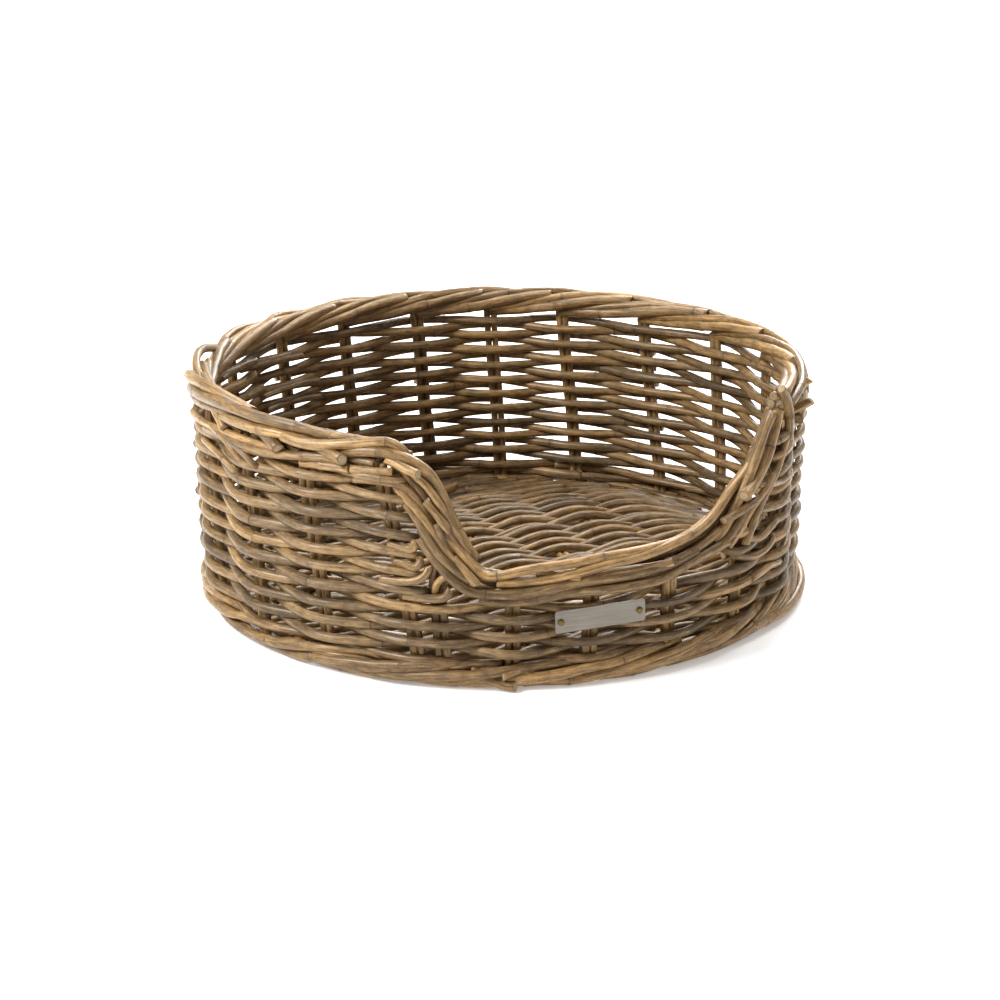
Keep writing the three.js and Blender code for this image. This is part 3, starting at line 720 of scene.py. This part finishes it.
ENTRY_RODS = [
    (5.0, [(218, 1, 174.6), (221.2, 1.5, 178.2), (225.5, 2, 180.5), (228.7, 1, 179.3), (231.3, 0, 176.2), (233.5, -1.5, 171), (235.3, -3, 164.1), (236.7, -4, 154.1), (237.7, -5, 144), (238.8, -5.5, 132.4), (240, -6, 120.7), (241.4, -6, 109.2), (243, -6, 99.1)]),
    (3.7, [(221.8, 5, 158.7), (225.7, 5.6, 159.5), (229.3, 5.8, 158.8), (231.5, 5.1, 155.7), (233.2, 4, 148.1), (234.6, 2.9, 137.4), (236.3, 2.3, 125.2), (237.8, 1.6, 113.7), (239.3, 1, 103.6)]),
    (4.0, [(229.3, 2, 156.1), (231.3, 4.7, 148.5), (233.3, 6.3, 140.5), (235, 7, 131.2), (236.6, 6.3, 119.8), (238.2, 5.3, 108.1), (239.8, 4, 99.3)]),
    (4.3, [(231.1, 3, 144), (233.1, 6.3, 135.8), (234.7, 8.3, 123.8), (236.3, 9, 112.1), (238.1, 8.3, 101.4), (240.3, 7.3, 92), (242.4, 6, 85.5)]),
    (3.5, [(232.8, 2, 165), (234.8, 3.3, 158.4), (236.5, 3.3, 148.9), (237.9, 2, 137.9), (239.3, 0, 125.9), (240.6, -1.7, 114.6), (242, -3, 104.1)]),
    (3.7, [(234.7, 4, 146.3), (236.5, 6, 138.2), (237.9, 7.7, 131.4), (239.1, 9, 125.2)]),
    (4.3, [(237.2, 0, 120.8), (238.9, 0.5, 114.3), (241, 1, 105.4), (242.9, 1.5, 94.9), (244.8, 2, 88.1), (247.5, 2.5, 89.1), (251, 3, 92.9), (255.3, 3, 95.2), (260.6, 3, 96.6), (265.1, 3, 98.5), (269.8, 3, 99.7), (274.9, 2, 99.8), (279.7, 1, 100.4), (284.6, -0.5, 104.4), (288.4, -2, 110)]),
    (4.1, [(239.3, 3, 103.6), (240.8, 5.7, 97), (242.1, 8.3, 91.1), (243.5, 11, 85.2)]),
    (3.6, [(239.6, -5, 106.1), (241.6, -4.5, 97.2), (243.7, -4, 91.2), (246.2, -3.5, 89.1), (249, -3, 87.7)]),
    (4.3, [(247, 2, 82.6), (251, 3.4, 83.6), (255.2, 4.8, 85.6), (259.6, 5.4, 88.4), (263.1, 5.8, 91.8), (267.1, 5.7, 94.4), (272.1, 5.2, 95.8), (276.6, 4.3, 98.4), (281.6, 2.9, 101.8), (286.6, 1.4, 107.1), (290.6, -0.5, 114.6), (294.1, -2.2, 124.3), (297.8, -3.1, 132.4), (301.5, -4, 138.6)]),
    (4.1, [(253.7, -1, 90.1), (257.6, 3, 87.4), (261.2, 8, 86.4)]),
    (3.9, [(263.6, 0, 84.7), (267.4, 2.7, 86), (272.5, 5.3, 86.8), (278.6, 8, 87.6)]),
    (4.5, [(234, 7, 117.7), (235.9, 7.8, 105.3), (237.9, 8.7, 94.4), (240.1, 9, 84.8), (242.4, 9, 78.8), (247.5, 8.9, 76.6), (252.5, 8.5, 77.5), (257.7, 8.1, 80.7), (263, 7.7, 83.1), (268.5, 7.2, 83), (274.3, 6.7, 84.3), (279.7, 5.8, 86), (284.3, 5, 90.3)]),
    (4.4, [(243.7, 3, 70.2), (248.3, 5.5, 69.7), (253.4, 8, 72.4), (258.5, 9, 76), (264.6, 10, 76), (270.1, 9.5, 75.6), (276.1, 9, 76.5), (280.4, 8, 81.2), (284.6, 7, 85.7), (288.1, 6.5, 88.4), (291.6, 6, 92.6), (295, 6.5, 103.5), (297.2, 7, 113.4)]),
    (4.1, [(248.4, 1, 78.2), (253.6, 3, 79.8), (258.7, 5, 83.1), (264.9, 5.5, 85.3), (271.5, 6, 86.2), (277.6, 5.5, 86.1), (282.7, 5, 90.2), (287.2, 3.5, 95), (290.7, 2, 100.7)]),
    (4.0, [(254.4, 4, 76.9), (260.6, 4, 77.3), (266.9, 4.3, 77.4), (272.6, 5, 78.7), (278.2, 5.7, 79.2), (283.1, 5.3, 81.8), (287.2, 4, 84.6)]),
    (4.0, [(245.1, -6, 81.8), (250.3, -6, 83.2), (256.6, -6, 85.1), (264.1, -6, 85.4), (272, -6, 86.5), (279.5, -6, 88.8), (286.6, -5.6, 95.5), (290.9, -5, 105.1)]),
    (4.4, [(285, -4, 98.3), (288.8, -4.4, 105.7), (292.2, -4.9, 113.6), (294.9, -5.3, 122.8), (298.1, -5.7, 130.6), (302.1, -6, 136.9), (305.1, -6, 146.6), (307.5, -6, 156.9)]),
    (4.7, [(289.2, 2, 90.9), (291.6, 2.6, 99.8), (294.5, 3, 113), (297.4, 3, 127.7), (300.2, 2.7, 142.2), (303.1, 2.1, 156.7), (305.5, 1.6, 168.5), (307.8, 1, 174.7)]),
    (5.2, [(295.5, 8, 123.6), (299.7, 6.4, 128.9), (302.8, 5.4, 139.8), (305.6, 4.6, 152.6), (307.9, 3.8, 165.3), (309.6, 3, 175.5)]),
    (3.7, [(290.9, 5, 107.7), (293.9, 7, 110.6), (296.9, 8.7, 114), (299.6, 10, 116.8)]),
    (3.4, [(292.5, 6, 85.9), (294.7, 7.8, 96), (296.6, 9, 106.3), (299, 9, 114), (302.4, 9, 121.4), (305.3, 9, 131)]),
    (4.0, [(296.3, 9, 83.8), (298.6, 9, 99.8), (301.1, 9, 113.2), (304.8, 8.5, 124.9), (308.3, 8, 135.2), (310.8, 7.5, 146.1), (313.1, 7, 155.6)]),
    (4.3, [(311.8, 9, 150.8), (312.4, 8.2, 164.8), (312.3, 7, 177), (311.3, 5.5, 185.3), (309.9, 4, 193.1)]),
    (3.6, [(286.2, 2, 82.6), (289, 6, 87.3), (291.3, 10, 92.3)]),
]
TURNS = [
    (3.5, [(228.8, 5, 97.6), (231.1, 7, 97), (232.9, 8.5, 95.2), (234, 8, 98.5), (233.5, 5, 101.9)]),
    (3.6, [(226.4, 5, 82.2), (229.4, 7, 82.8), (232.6, 9, 85), (234.5, 9, 88.9), (235.3, 7, 95.4)]),
    (3.4, [(230.8, 6, 72), (233.8, 8.2, 71.7), (236.7, 9.5, 72.4), (238.4, 9.8, 74.5), (238.9, 9, 79.8)]),
    (3.3, [(228, 4, 110.3), (230.4, 6.2, 109.8), (232.3, 7.5, 108.7), (233.1, 7.2, 112.8), (232.5, 5, 115.7)]),
    (3.0, [(236.1, 4, 74.8), (236.4, 7, 82.4), (237.4, 8, 87.8), (238.6, 8, 90.4)]),
    (3.3, [(294.4, 5, 76.1), (297.1, 7.4, 71.8), (300.3, 8.6, 69.6), (304, 8.6, 70.5), (307.1, 7.4, 74.5), (306.9, 5, 79.3)]),
    (3.1, [(296.6, 5, 89), (298.8, 7.2, 84.4), (301.9, 8.5, 82.4), (304.9, 8.5, 85.9), (308.8, 7, 88)]),
    (3.0, [(298.8, 9, 52.6), (301.8, 8.3, 52.5), (306.4, 7.3, 51.9), (312.4, 6, 46.2)]),
    (3.1, [(300.1, 10, 13.1), (303.2, 10.8, 10.5), (306.1, 11.6, 9.7), (310.5, 11.6, 9.8), (315.1, 10.2, 11.6), (318, 7, 16.2)]),
    (3.0, [(301.4, 6, 104.8), (305.1, 7.3, 102.1), (309.9, 8, 99.2), (313.9, 8, 98.8)]),
    (2.9, [(301, 6, 125.8), (304.6, 7.3, 122.4), (309.3, 8, 118.3), (313.2, 8, 117.4)]),
]
FOOT_LOOSE = [
    (4.1, [(298.9, 6, 9.6), (304, 10, 9), (311, 13, 7.5), (319, 14, 7), (328, 14, 6.5), (336, 12, 8), (342, 6, 11)]),
    (3.8, [(242.1, 3, 14.7), (244.9, 6.3, 8.7), (247.3, 9.3, 5.2), (249.7, 12.5, 4.6)]),
    (3.6, [(252.3, 2, 17.3), (249.8, 7, 15), (247.5, 11, 12)]),
]


ENTRY_TONE = [0.5, 0.3, 0.65, 0.0, 0.75, 0.2, 0.85, 0.45, 0.6, 0.8, 0.75, 0.85, 0.0, 0.05, 0.5, 0.1, 0.3, 0.5, 0.4, 0.6, 0.2, 0.7,
              0.55, 0.5, 0.3]


def laid(B, table, seed, sides=14, nodes=110, sig=4.0, tones=None):
    for k, (rad, K) in enumerate(table):
        rr = np.random.default_rng(seed + k)
        A = np.array([(math.radians(t) * ARC, o, z) for t, o, z in K])
        Q = blur(resample(catmull(A, 10), 1.0), min(sig, len(K) * 2.0))
        B.rod(to_world(Q), rad * rr.uniform(0.98, 1.04), rad * rr.uniform(0.92, 0.99), seed + 100 + k, sides=sides,
              slant=(rr.uniform(0.15, 0.5), rr.uniform(0.15, 0.5)), nodes=nodes, lump=1.2,
              tone=(tones[k % len(tones)], rr.uniform()) if tones else None)


# --------------------------------------------------------------------------
# borders: helical strokes about a centre line
# --------------------------------------------------------------------------
def ring_point(th, zc_, phi, rho, sx=1.0, sz=1.0):
    """phi 0 is inside, 90 on top, 180 outside, 270 below."""
    ph = np.radians(phi)
    C = wall(th, zc_, 0.0)
    return C + outward(th) * (-np.cos(ph) * rho * sx)[..., None] + np.stack([0 * ph, 0 * ph, np.sin(ph) * rho * sz], -1)


def stroke(keys, zc_fn, sig=7.0, sx=1.0, sz=1.0, jit=0.3, r=None):
    """keys: (angle, phi, rho) in path order."""
    K = np.array(keys, float)
    A = np.stack([np.radians(K[:, 0]) * ARC, np.cos(np.radians(K[:, 1])) * 0, K[:, 1], K[:, 2]], -1)
    s = np.r_[0, np.cumsum(np.maximum(1.0, np.abs(np.diff(A[:, 0])) + 0.0))]
    n = int(s[-1]) + 1
    x = np.linspace(0, s[-1], n)
    W = np.stack([np.interp(x, s, A[:, c]) for c in (0, 2, 3)], -1)
    W = blur(W, sig)
    th = np.degrees(W[:, 0] / ARC)
    zz = zc_fn(th)
    P = ring_point(th, zz, W[:, 1], W[:, 2], sx, sz)
    if r is not None:
        P = P + np.stack([wander(n, 1.0, 40, jit, r) for _ in range(3)], -1)
    return P


def gap_after(i, z):
    """Angle from stake i down to stake i-1."""
    return stake_angle(i, z) - stake_angle(i - 1, z)


def down_from(i, d, z):
    """Angle that lies d stake intervals below stake i."""
    k = int(math.floor(d))
    a = stake_angle(i - k, z)
    b = stake_angle(i - k - 1, z)
    return a + (b - a) * (d - k)


RIM_R, RIM_L = -46.0, 226.2
B = Bundle()
for i in range(-3, 17):
    rr = np.random.default_rng(3300 + i)
    z = RIM_Z
    ra, rb = rr.uniform(4.4, 5.1), rr.uniform(3.5, 4.1)

    def keep(keys):
        """Drops the part of a stroke that is past either end of the rim."""
        out = []
        pts = []
        K = np.array(keys, float)
        s = np.linspace(0, len(K) - 1, 12 * (len(K) - 1) + 1)
        for c in range(3):
            pts.append(np.interp(s, np.arange(len(K)), K[:, c]))
        K = np.stack(pts, -1)
        ok = (K[:, 0] > RIM_R - 2.5 + rr.uniform(-1, 2)) & (K[:, 0] < RIM_L + 4 + rr.uniform(-1, 2))
        return K[ok]

    j = rr.uniform(-0.05, 0.05, 6)
    KA = [(0.0, -90, 9.0), (0.25, -78, 7.6), (0.63, -40, 7.3), (1.25, 22, 7.5), (1.91 + j[0], 84, 7.9)]
    KB = [(0.0, -90, 8.0), (0.22, -62, 4.6), (0.6, 18, 5.0), (1.1, 66, 7.6), (1.5, 92, 9.2 + 12 * j[3]),
          (1.95, 112, 10.0 + 12 * j[4]), (2.35 + j[1], 134, 9.4), (2.8, 166, 8.2), (3.35 + j[2] * 3, 214, 8.0)]
    for q, (KK, rad0, rad1) in enumerate(((KA, ra, ra * 0.95), (KB, rb, rb * 0.9))):
        keys = keep([(down_from(i, d, z), ph, rho) for d, ph, rho in KK])
        if q == 1 and len(keys):
            keys = keys[~(((keys[:, 0] > 172) & (keys[:, 1] > 96)) | ((keys[:, 0] > 100) & (keys[:, 0] < 168) & (keys[:, 1] > 70)))]
        if len(keys) < 8 or abs(keys[0][0] - keys[-1][0]) < 6:
            continue
        P = stroke(keys, lambda th: np.full(np.shape(th), RIM_Z), r=rr, sx=0.97, sz=1.0)
        B.rod(P, rad0, rad1, 8000 + 20 * (i + 5) + q, sides=14, slant=(0.2, rr.uniform(0.15, 0.5)), nodes=120, lump=1.2)
laid(B, RIM_LEFT, 8600)
laid(B, RIM_RIGHT, 8700)
laid(B, RIM_LOOPS, 8760)
laid(B, WALL_LOOSE, 8800)
B.build("rim_border_rods", M_BORDER, ["rim_border"])

# foot border: strokes climb the outside towards growing angle
B = Bundle()
for i in range(20):
    rr = np.random.default_rng(4400 + i)
    for q in range(2):
        th0 = STAKES[i, 1] + (0 if q == 0 else 6.5) + rr.uniform(-2.5, 2.5)
        I = 18.0 * rr.uniform(0.92, 1.2)
        rad = rr.uniform(3.3, 4.5)
        e = rr.uniform(0.0, 2.2)
        KK = [(-0.15, 262, 8.5 + e), (0.3, 236, 8.4), (0.9, 200, 8.3), (1.55, 152, 8.3), (2.0, 112, 7.6), (2.35, 84, 6.6)]
        keys = [(th0 + d * I, ph + rr.uniform(-7, 7), rho) for d, ph, rho in KK]
        s_ = np.linspace(0, len(keys) - 1, 60)
        Kn = np.stack([np.interp(s_, np.arange(len(keys)), np.array(keys)[:, c]) for c in range(3)], -1)
        P = stroke(Kn, lambda th: np.full(np.shape(th), FOOT_Z), r=rr, sx=0.97, sz=0.92, jit=0.6)
        P[:, 2] = np.maximum(P[:, 2], rad + 0.6)
        if q == 1 and 15 < (th0 + 18) % 360 < 165 and rr.random() < 0.6:
            continue        # slacker round the back
        B.rod(P, rad, rad * 0.88, 9000 + i * 5 + q, slant=(rr.uniform(0.2, 0.6), 0.3), nodes=110, lump=1.3)
# inside, the weave goes on down to the base
for r in (0, -1, -2):
    rr = np.random.default_rng(9400 - r)
    th = np.arange(0, 360, 0.5)
    s0 = int(rr.integers(0, 10)) * 2 + (1 if r % 2 else 0)
    for h in range(2):
        i0, i1 = s0 + 10 * h, s0 + 10 * h + 10
        keys = []
        for i in range(i0, i1 + 1):
            t = stake_angle(i, Z0)
            w_ = side(i, r)
            w_ = 5.2 if w_ > 0 else -7.6
            fl = math.degrees(8.6 / ARC)
            keys += [(math.radians(t - fl) * ARC, w_, Z0 + PITCH * (r - 0.5) - 0.6), (math.radians(t + fl) * ARC, w_, Z0 + PITCH * (r - 0.5) - 0.6)]
        Q = path_from(keys)
        ra = rr.uniform(3.5, 4.0)
        Q[:, 2] = np.maximum(Q[:, 2] + wander(len(Q), 1, 45, 0.5, rr), ra + 0.4)
        B.rod(to_world(Q), ra, ra * 0.88, 9450 - r * 4 + h, slant=(0.2, 0.3), nodes=120)
laid(B, FOOT_LOOSE, 9300)
B.build("foot_border_rods", M_BORDER, ["foot_border"])

# entry border: rods laid along the slopes and the sill, round two core rods
B = Bundle()
EL = ENTRY_LINE
for q in range(2):
    rr = np.random.default_rng(5500 + q)
    s_ = np.arange(len(EL), dtype=float)
    T = np.gradient(EL, axis=0)
    T /= np.linalg.norm(T, axis=1, keepdims=True)
    phi = np.radians(q * 180.0 + s_ * 0.35)
    n_off, s_off = 2.6 * np.cos(phi) - 3.4, 4.2 * np.sin(phi)
    P = wall(np.degrees((EL[:, 0] - T[:, 1] * s_off) / ARC), EL[:, 1] + T[:, 0] * s_off, n_off)
    B.rod(blur(P, 5), 3.9, 3.7, 9500 + q, sides=12, slant=(0.2, 0.4), nodes=100, tone=(0.0, 0.5))
laid(B, [(r * 0.87, K) for r, K in ENTRY_RODS], 9600, sides=14, tones=ENTRY_TONE)
# rods turned back beside the entry
laid(B, TURNS, 9850, sides=14, sig=2.5, tones=[0.35, 0.55, 0.1, 0.6, 0.7, 0.3, 0.5, 0.75, 0.6, 0.4, 0.5])
B.build("entry_border_rods", M_BORDER, ["entry_border"])

# --------------------------------------------------------------------------
# base: rods along X over cross sticks
# --------------------------------------------------------------------------
STICK_X = [-168, -112, -56, 0, 56, 112, 168]
BASE_AMP = 5.4


def base_fall(y):
    """0 over most of the base, 1 at its back edge, where it sinks to the floor."""
    t = np.clip((np.asarray(y, float) - 80.0) / 118.0, 0, 1)
    return t * t * (3 - 2 * t)


def base_z(y):
    return 9.9 - 5.3 * base_fall(y)


for k, x in enumerate(STICK_X):
    B = Bundle()
    rr = np.random.default_rng(6100 + k)
    half = 226 * math.sqrt(max(0, 1 - (x / 232) ** 2)) - 3
    y = np.arange(-half + 16, half - 6, 3.0)
    for sgn in (-1, 1):
        P = np.stack([x + sgn * 3.1 + wander(len(y), 3, 60, 0.5, rr), y + CY, np.maximum(base_z(y) + wander(len(y), 3, 60, 0.2, rr), 3.0)], -1)
        B.rod(P, 2.3, 2.2, 11000 + k * 3 + sgn, nodes=120)
    B.build("base_stick_%02d_rods" % (k + 1), M_STAKE_PAINTED_LIGHTER, ["base_stick_%02d" % (k + 1)])

B = Bundle()
rr0 = np.random.default_rng(6400)
rows, y0 = [], -218.0
while y0 < 218:
    rad = float(np.clip(rr0.normal(4.1, 0.34), 3.4, 4.8))
    y0 += rad * 1.03
    rows.append((y0, rad))
    y0 += rad * 1.03
par = 0
for j, (y0, rad) in enumerate(rows):
    rr = np.random.default_rng(6500 + j)
    half = 229 * math.sqrt(max(0, 1 - (y0 / 227) ** 2)) + 14
    par += 1 if rr.random() < 0.90 else 0
    keys = [(-half, 0.0)]
    for k, x in enumerate(STICK_X):
        if abs(x) > half - 24:
            continue
        h = (BASE_AMP + (rad - 4.15)) * 1.2 * (1 if (k + par) % 2 else -1) * (1 - 0.8 * float(base_fall(y0)))
        keys += [(x - 4 - 0.05 * y0, h), (x + 4 - 0.05 * y0, h)]
    keys.append((half, 0.0))
    K = np.array([(x, y0, z) for x, z in keys])
    K = blur(resample(K, 1.0), 10.0)
    n = len(K)
    # towards the ends the rods swing round to follow the wall
    w = np.clip((y0 + 60) / 120.0, -0.6, 1)
    bend = np.clip((K[:, 0] - 140) / 78.0, 0, 1) ** 1.6 * 62 * w
    bend2 = np.clip((-K[:, 0] - 145) / 78.0, 0, 1) ** 1.7 * 44 * w
    yy = K[:, 1] - bend - bend2 + 3.0 * np.sin(K[:, 0] / 47.0 + 0.6)
    z = base_z(yy) + K[:, 2] + wander(n, 1, 50, 0.25, rr)
    z = np.clip(z, rad + 0.3, None)
    P = np.stack([K[:, 0], yy + CY + wander(n, 1, 70, 0.9, rr), z], -1)
    inside = (P[:, 0] / 234) ** 2 + ((P[:, 1] - CY) / 230) ** 2 < 0.985
    idx = np.where(inside)[0]
    if not len(idx):
        continue
    P = P[idx[0]:idx[-1]]
    if len(P) < 30:
        continue
    B.rod(P, rad, rad * 0.93, 12000 + j, slant=(0.2, 0.2), nodes=150, tone=(rr.uniform(0.1, 0.95), rr.uniform()))
# rods laid along the wall, over the gaps the swung ends leave
for k, (c0, c1, R, z0, ra) in enumerate([
        (4, 58, 226.0, 5.6, 4.0), (14, 50, 218.5, 6.6, 3.8), (20, 46, 211.0, 8.4, 3.7), (-84, -8, 229.0, 6.8, 3.9), (-66, -18, 221.5, 8.2, 3.7),
        (122, 172, 226.0, 5.8, 4.0), (128, 162, 218.5, 7.0, 3.8), (188, 262, 229.0, 6.8, 3.9), (198, 246, 221.5, 8.0, 3.7)]):
    rr = np.random.default_rng(6900 + k)
    t = np.radians(np.arange(c0, c1, 0.3))
    u = np.linspace(-1, 1, len(t))
    Rr = R - 10 * np.abs(u) ** 4 + wander(len(t), 1.2, 60, 1.2, rr)
    P = np.stack([Rr * 1.008 * np.cos(t), Rr * np.sin(t) + CY, z0 - 1.6 * np.abs(u) ** 3 + wander(len(t), 1.2, 50, 0.5, rr)], -1)
    P[:, 2] = np.maximum(P[:, 2], ra + 0.4)
    B.rod(P, ra, ra * 0.9, 12500 + k, slant=(0.3, 0.3), nodes=120)
# one rod left long at the back
P = np.array([(-46.0, 150, 12.0), (-12, 160, 14.5), (12, 170, 16.0), (32, 180, 16.5)])
B.rod(blur(resample(P, 1.0), 6), 4.6, 4.4, 12700, slant=(0.2, 0.5), nodes=90)
B.build("base_mat_rods", M_BASE, ["base_mat"])


# --------------------------------------------------------------------------
# plate and nails: the CAD parts, with materials
# --------------------------------------------------------------------------
def metal(name, colour, rough, aniso=0.0, brushed=True):
    m = bpy.data.materials.new(name)
    m.use_nodes = True
    nt = m.node_tree
    N, Lk = nt.nodes, nt.links
    bs = N["Principled BSDF"]
    tc = N.new("ShaderNodeTexCoord")
    mp = N.new("ShaderNodeMapping")
    mp.inputs["Scale"].default_value = (30, 30, 1400) if brushed else (400, 400, 400)
    Lk.new(tc.outputs["Object"], mp.inputs["Vector"])
    no = N.new("ShaderNodeTexNoise")
    no.inputs["Scale"].default_value = 1.0
    no.inputs["Detail"].default_value = 5
    Lk.new(mp.outputs[0], no.inputs["Vector"])
    sm = N.new("ShaderNodeTexNoise")
    sm.inputs["Scale"].default_value = 60.0
    sm.inputs["Detail"].default_value = 3
    Lk.new(tc.outputs["Object"], sm.inputs["Vector"])
    cr = N.new("ShaderNodeValToRGB")
    cr.color_ramp.elements[0].position = 0.3
    cr.color_ramp.elements[0].color = tuple(c * 0.78 for c in colour[:3]) + (1,)
    cr.color_ramp.elements[1].position = 0.7
    cr.color_ramp.elements[1].color = colour
    Lk.new(no.outputs["Fac"], cr.inputs[0])
    mr = N.new("ShaderNodeMapRange")
    mr.inputs["To Min"].default_value = rough - 0.06
    mr.inputs["To Max"].default_value = rough + 0.14
    Lk.new(sm.outputs["Fac"], mr.inputs["Value"])
    bp = N.new("ShaderNodeBump")
    bp.inputs["Strength"].default_value = 0.15
    bp.inputs["Distance"].default_value = 0.0001
    Lk.new(no.outputs["Fac"], bp.inputs["Height"])
    Lk.new(cr.outputs[0], bs.inputs["Base Color"])
    Lk.new(mr.outputs[0], bs.inputs["Roughness"])
    Lk.new(bp.outputs[0], bs.inputs["Normal"])
    bs.inputs["Metallic"].default_value = 1.0
    return m


M_PLATE = metal("plate_metal", srgb(139, 133, 124), 0.45)
M_NAIL = metal("brass_nail", srgb(122, 104, 66), 0.38, brushed=False)
for name, mat in (("name_plate", M_PLATE), ("nail_left", M_NAIL), ("nail_right", M_NAIL)):
    o = frame["nodes"][name]
    if o.material_slots:
        for sl in o.material_slots:
            sl.material = mat
    else:
        for c in o.children:
            for sl in c.material_slots:
                sl.material = mat

# --------------------------------------------------------------------------
# floor, light, camera
# --------------------------------------------------------------------------
bpy.ops.mesh.primitive_plane_add(size=30, location=(0, 0, 0))
floor = bpy.context.object
floor.name = "floor"
fm = bpy.data.materials.new("floor_white")
fm.use_nodes = True
fb = fm.node_tree.nodes["Principled BSDF"]
fb.inputs["Base Color"].default_value = (0.9, 0.9, 0.9, 1)
fb.inputs["Roughness"].default_value = 0.8
fb.inputs["Specular IOR Level"].default_value = 0.1
fb.inputs["Emission Color"].default_value = (1, 1, 1, 1)
ftc = fm.node_tree.nodes.new("ShaderNodeTexCoord")
fln = fm.node_tree.nodes.new("ShaderNodeVectorMath")
fln.operation = "LENGTH"
fm.node_tree.links.new(ftc.outputs["Object"], fln.inputs[0])
fmr = fm.node_tree.nodes.new("ShaderNodeMapRange")
fmr.interpolation_type = "SMOOTHSTEP"
for key, v in (("From Min", 0.35), ("From Max", 2.2), ("To Min", 0.23), ("To Max", 0.75)):
    fmr.inputs[key].default_value = v
fm.node_tree.links.new(fln.outputs["Value"], fmr.inputs["Value"])
fm.node_tree.links.new(fmr.outputs["Result"], fb.inputs["Emission Strength"])
floor.data.materials.append(fm)

w = bpy.data.worlds.new("studio")
bpy.context.scene.world = w
w.use_nodes = True
w.node_tree.nodes["Background"].inputs[0].default_value = (1, 1, 1, 1)
w.node_tree.nodes["Background"].inputs[1].default_value = 0.42
bpy.context.scene.view_settings.view_transform = "Standard"
bpy.context.scene.view_settings.look = "Medium High Contrast"


def area(name, loc, at, size, power, size_y=None):
    l = bpy.data.lights.new(name, "AREA")
    l.energy = power
    l.size = size
    if size_y:
        l.shape = "RECTANGLE"
        l.size_y = size_y
    o = bpy.data.objects.new(name, l)
    bpy.context.scene.collection.objects.link(o)
    o.location = loc
    o.rotation_mode = "QUATERNION"
    o.rotation_quaternion = (Vector(at) - Vector(loc)).to_track_quat("-Z", "Y")
    return o


area("key", (-1.5, -0.1, 1.35), (0, 0, 0.1), 0.7, 34)
area("top", (0.1, 1.0, 2.0), (0, 0, 0.1), 0.9, 21)
area("fill", (1.1, 0.3, 1.8), (-0.1, 0.1, 0.12), 0.7, 15)
area("rim", (1.25, 1.45, 1.15), (0, 0, 0.10), 0.75, 27, 1.0)

cam = bpy.data.cameras.new("camera")
cam.lens = 77.26
cam.sensor_width = 36
cam.clip_start, cam.clip_end = 0.1, 60
co = bpy.data.objects.new("camera", cam)
bpy.context.scene.collection.objects.link(co)
bpy.context.scene.camera = co
a_, e_ = math.radians(-23.3), math.radians(19.18)
back = Vector((math.sin(a_) * math.cos(e_), -math.cos(a_) * math.cos(e_), math.sin(e_)))
right = Vector((math.cos(a_), math.sin(a_), 0))
up = back.cross(right)
target = Vector((0, CY, 105)) + right * 0.5 + up * (-38.2)
co.location = (target + back * 1800) * MM
co.rotation_mode = "QUATERNION"
co.rotation_quaternion = (-back).to_track_quat("-Z", "Y")
